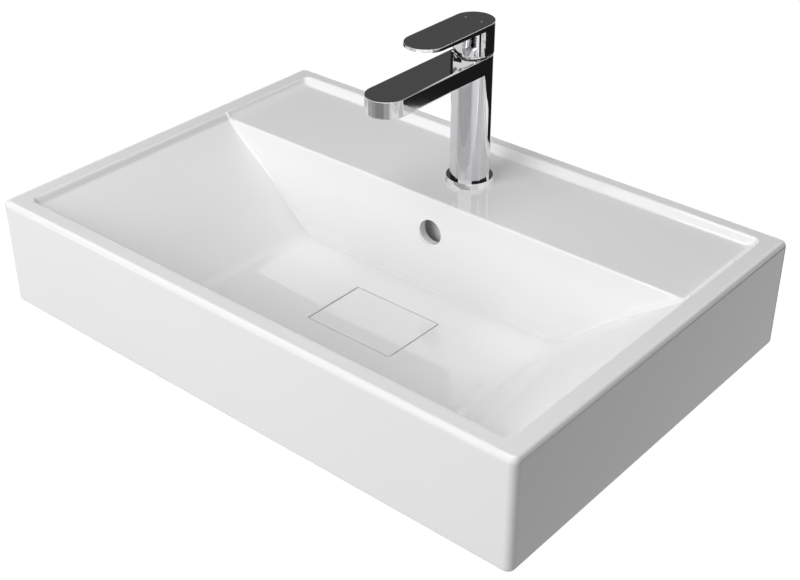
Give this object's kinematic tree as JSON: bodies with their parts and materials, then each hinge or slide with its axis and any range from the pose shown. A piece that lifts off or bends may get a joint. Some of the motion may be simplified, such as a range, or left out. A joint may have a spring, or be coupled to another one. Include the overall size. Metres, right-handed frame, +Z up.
{
  "type": "washbasin",
  "caption": "Wall-hung rectangular ceramic washbasin with sloping bowl sides, rear tap deck, overflow, covered drain and lever mixer tap.",
  "frame": {"origin": "midway between the two wall-fixing holes, on the back face of the basin", "axes": "+X to the right as one faces the wall, +Y into the wall, +Z up"},
  "size_m": [0.655, 0.45, 0.363],
  "materials": {
    "glaze": "glossy white glaze",
    "tap_chrome": "polished chrome plate",
    "waste_chrome": "polished chrome plate",
    "brass": "plain brass",
    "steel": "plain stainless steel",
    "rubber": "black rubber",
    "plastic": "moulded natural plastic",
    "disc_ceramic": "ground ceramic"
  },
  "bodies": {
    "basin_body": {"basin": "glaze", "waste_body": "waste_chrome", "flange_seal": "rubber", "lower_seal": "rubber", "slip_washer": "plastic", "waste_backnut": "brass", "tap_body": "tap_chrome", "base_ring": "tap_chrome", "base_seal": "rubber", "aerator_shell": "tap_chrome", "aerator_insert": "plastic", "aerator_washer": "rubber", "fixing_stud": "steel", "rubber_horseshoe": "rubber", "metal_horseshoe": "steel", "fixing_nut": "brass", "base_gasket": "rubber", "cartridge_base": "plastic", "fixed_disc": "disc_ceramic", "cartridge_housing": "plastic", "chamber_seal": "rubber", "retaining_nut": "brass", "dome_ring": "tap_chrome"},
    "turning_carrier": {"rotor": "plastic", "pivot_pin": "steel"},
    "lever_body": {"lever": "tap_chrome", "stem": "brass", "grub_screw": "steel", "screw_plug": "tap_chrome"},
    "sliding_disc": {"moving_disc": "disc_ceramic", "disc_driver": "plastic"},
    "cover_body": {"drain_cover": "glaze", "cover_pads": "rubber"}
  },
  "joints": [
    {"name": "lever_turn", "type": "hinge", "parent": "basin_body", "child": "turning_carrier", "pos_m": [0, -0.089, 0.181], "axis": [0, 0, 1], "range_deg": [-40, 40]},
    {"name": "lever_lift", "type": "hinge", "parent": "turning_carrier", "child": "lever_body", "pos_m": [0, -0.089, 0.181], "axis": [-1, 0, 0], "range_deg": [0, 20]},
    {"name": "disc_slide", "type": "slide", "parent": "turning_carrier", "child": "sliding_disc", "axis": [0, -1, 0], "range_m": [0, 0.0036]},
    {"name": "cover_lift", "type": "slide", "parent": "basin_body", "child": "cover_body", "axis": [0, 0, 1], "range_m": [0, 0.05]}
  ],
  "couplings": [
    {"joint": "disc_slide", "follows": "lever_lift", "m_per_rad": 0.01}
  ]
}
